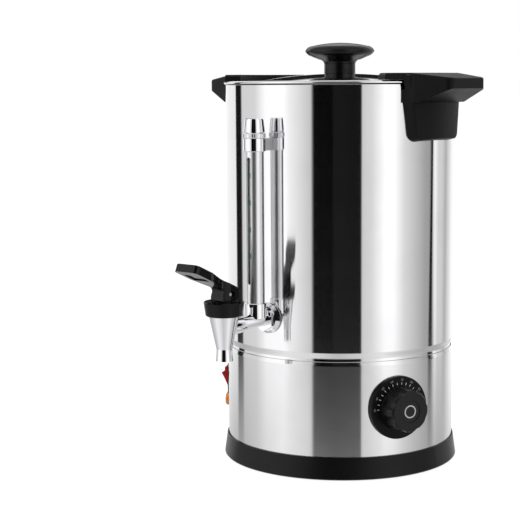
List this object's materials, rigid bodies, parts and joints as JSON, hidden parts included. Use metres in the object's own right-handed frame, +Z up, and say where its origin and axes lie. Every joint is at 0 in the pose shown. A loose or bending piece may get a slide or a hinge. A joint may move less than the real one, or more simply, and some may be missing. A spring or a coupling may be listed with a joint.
{
  "type": "coffee urn",
  "caption": "Stainless countertop urn with lift-off lid, side handles, sight gauge, pour tap, temperature dial, rocker switch and pilot lamp on a black base ring.",
  "frame": {"origin": "centre of the plane that the feet stand on, on the drum's axis", "axes": "+Z up along the drum's axis, -Y towards the tap, +X and -X towards the handles"},
  "size_m": [0.2982, 0.3506, 0.4004],
  "materials": {
    "polished_steel": "polished",
    "casing_steel": "satin",
    "tank_steel": "satin",
    "chrome": "polished",
    "black_plastic": "satin",
    "black_gloss": "gloss",
    "red_plastic": "gloss",
    "orange_lens": "gloss",
    "gauge_glass": "clear",
    "silicone": "satin",
    "foot_rubber": "matte",
    "zinc_steel": "satin",
    "sheet_steel": "satin",
    "aluminium": "satin",
    "element_sheath": "satin",
    "brass": "satin",
    "phenolic": "matte",
    "nylon": "matte"
  },
  "bodies": {
    "root": {"body_shell": "polished_steel", "inner_tank": "tank_steel", "lower_casing": "casing_steel", "base_ring": "black_plastic", "rubber_feet": "foot_rubber", "bottom_plate": "sheet_steel", "base_screws": "zinc_steel", "tie_studs": "zinc_steel", "tie_nuts": "zinc_steel", "heat_spreader": "aluminium", "heating_element": "element_sheath", "element_tabs": "brass", "cutout_body": "phenolic", "cutout_nut": "zinc_steel", "dial_plate": "black_plastic", "dial_screws": "zinc_steel", "thermostat_body": "phenolic", "switch_body": "black_plastic", "lamp_housing": "black_plastic", "lamp_lens": "orange_lens", "lamp_nut": "nylon", "cord_gland": "black_plastic", "gland_nut": "black_plastic", "terminal_block": "nylon", "terminal_screws": "brass", "tap_shank": "chrome", "tap_flange": "chrome", "tap_nuts": "chrome", "tap_seals": "silicone", "tap_body": "chrome", "tap_bonnet": "black_plastic", "bonnet_seal": "silicone", "tap_spring": "zinc_steel", "gauge_base": "chrome", "gauge_glass": "gauge_glass", "gauge_seals": "silicone", "gauge_guard": "chrome", "gauge_collar": "chrome", "gauge_screw": "zinc_steel", "gauge_ring": "chrome", "handle_right": "black_plastic", "handle_left": "black_plastic", "handle_screws": "zinc_steel"},
    "lid": {"lid": "polished_steel", "lid_knob": "black_gloss", "lid_screw": "zinc_steel", "lid_washer": "zinc_steel"},
    "lever": {"tap_lever": "black_plastic"},
    "stem": {"tap_stem": "zinc_steel", "lever_pin": "zinc_steel", "seat_cup": "silicone"},
    "dial": {"dial_shaft": "zinc_steel", "dial_knob": "black_plastic", "knob_cap": "black_gloss"},
    "rocker": {"rocker": "red_plastic"},
    "gauge_cap": {"gauge_cap": "chrome"},
    "reset": {"reset_button": "red_plastic"}
  },
  "joints": [
    {"name": "lid_lift", "type": "slide", "parent": "root", "child": "lid", "axis": [0, 0, 1], "range_m": [0, 0.12]},
    {"name": "lever_press", "type": "hinge", "parent": "root", "child": "lever", "pos_m": [0, -0.1807, 0.1726], "axis": [1, 0, 0], "range_deg": [0, 25], "stiffness_Nm_per_rad": 0.3, "springref_deg": -17.19},
    {"name": "stem_lift", "type": "slide", "parent": "root", "child": "stem", "axis": [0, 0, 1], "range_m": [0, 0.00428], "deforming": ["tap_spring"]},
    {"name": "dial_turn", "type": "hinge", "parent": "root", "child": "dial", "pos_m": [0.09973, -0.04545, 0.0661], "axis": [-0.91, 0.4147, 0], "range_deg": [0, 270]},
    {"name": "rocker_tilt", "type": "hinge", "parent": "root", "child": "rocker", "pos_m": [-0.09719, -0.04846, 0.0703], "axis": [-0.4462, 0.8949, 0], "range_deg": [0, 24]},
    {"name": "gauge_cap_turn", "type": "hinge", "parent": "root", "child": "gauge_cap", "pos_m": [0, -0.129, 0.325], "axis": [0, 0, 1], "continuous": true},
    {"name": "reset_press", "type": "slide", "parent": "root", "child": "reset", "axis": [0, 0, 1], "range_m": [0, 0.002], "stiffness_N_per_m": 600, "springref_m": -0.002}
  ],
  "couplings": [
    {"joint": "stem_lift", "follows": "lever_press", "m_per_rad": 0.009817}
  ]
}
